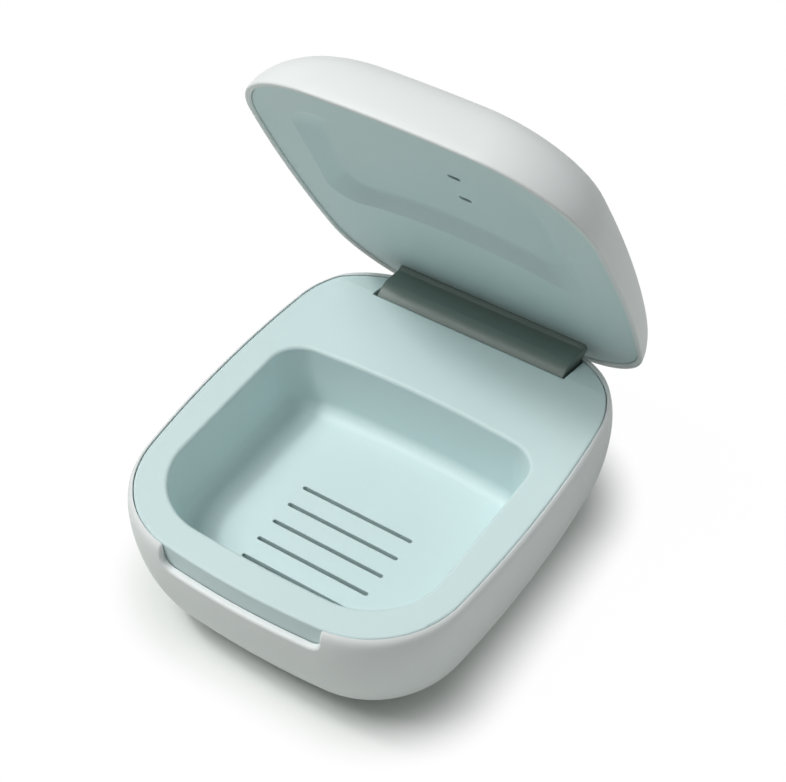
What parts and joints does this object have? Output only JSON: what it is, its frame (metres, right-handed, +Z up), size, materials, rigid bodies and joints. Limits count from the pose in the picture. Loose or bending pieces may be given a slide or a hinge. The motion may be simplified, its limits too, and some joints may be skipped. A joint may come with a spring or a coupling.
{
  "type": "hearing aid dryer",
  "caption": "Palm-sized drying case for hearing aids: rounded base with a slotted tray, a domed lid on a rear hinge, and a fan and heater below.",
  "frame": {"origin": "on the surface it stands on, under the centre of the base's outline", "axes": "+Z up, -Y towards the front with the thumb notch, +X to the right seen from the front, along the hinge pin"},
  "size_m": [0.079, 0.1033, 0.1057],
  "materials": {
    "white_shell": "soft gloss moulded plastic",
    "mint_liner": "fine satin moulded plastic",
    "foot_rubber": "matt soft rubber",
    "screw_steel": "zinc-plated steel",
    "black_plastic": "matt black plastic",
    "motor_copper": "enamelled copper wire",
    "filter_mesh": "woven nylon mesh",
    "plate_aluminium": "plain rolled sheet",
    "heater_strip": "amber film over a heating strip",
    "board_green": "solder-masked laminate",
    "chip_black": "moulded black plastic",
    "socket_steel": "stamped stainless sheet",
    "lamp_package": "clear-coated lamp package",
    "clear_pipe": "clear moulded acrylic",
    "magnet_nickel": "nickel plating",
    "pin_steel": "ground steel",
    "bush_plastic": "natural acetal"
  },
  "bodies": {
    "base": {"base_shell": "white_shell", "rubber_feet": "foot_rubber", "tray_liner": "mint_liner", "case_screws": "screw_steel", "fan_frame": "black_plastic", "fan_core": "motor_copper", "fan_screws": "screw_steel", "dust_mesh": "filter_mesh", "warm_plate": "plate_aluminium", "strip_heaters": "heater_strip", "main_board": "board_green", "board_screws": "screw_steel", "control_chip": "chip_black", "usb_socket": "socket_steel", "usb_tongue": "chip_black", "power_switch": "chip_black", "status_led": "lamp_package", "light_pipe": "clear_pipe", "tray_magnets": "magnet_nickel", "hinge_pin": "pin_steel"},
    "fan": {"fan_rotor": "black_plastic"},
    "button": {"power_button": "white_shell", "switch_plunger": "white_shell"},
    "lid": {"friction_bushes": "bush_plastic", "hinge_arm": "mint_liner", "arm_screws": "screw_steel", "lid_shell": "white_shell", "lid_panel": "mint_liner", "lamp_board": "board_green", "lamp_chips": "lamp_package", "lid_magnets": "magnet_nickel"}
  },
  "joints": [
    {"name": "lid_hinge", "type": "hinge", "parent": "base", "child": "lid", "pos_m": [0, 0.0401, 0.024], "axis": [1, 0, 0], "range_deg": [0, 63.2]},
    {"name": "fan_spin", "type": "hinge", "parent": "base", "child": "fan", "pos_m": [0, -0.0177, 0.006], "axis": [0, 0, 1], "continuous": true},
    {"name": "power_press", "type": "slide", "parent": "base", "child": "button", "axis": [0, -1, 0], "range_m": [0, 0.0005], "stiffness_N_per_m": 1500, "springref_m": -0.0004}
  ]
}
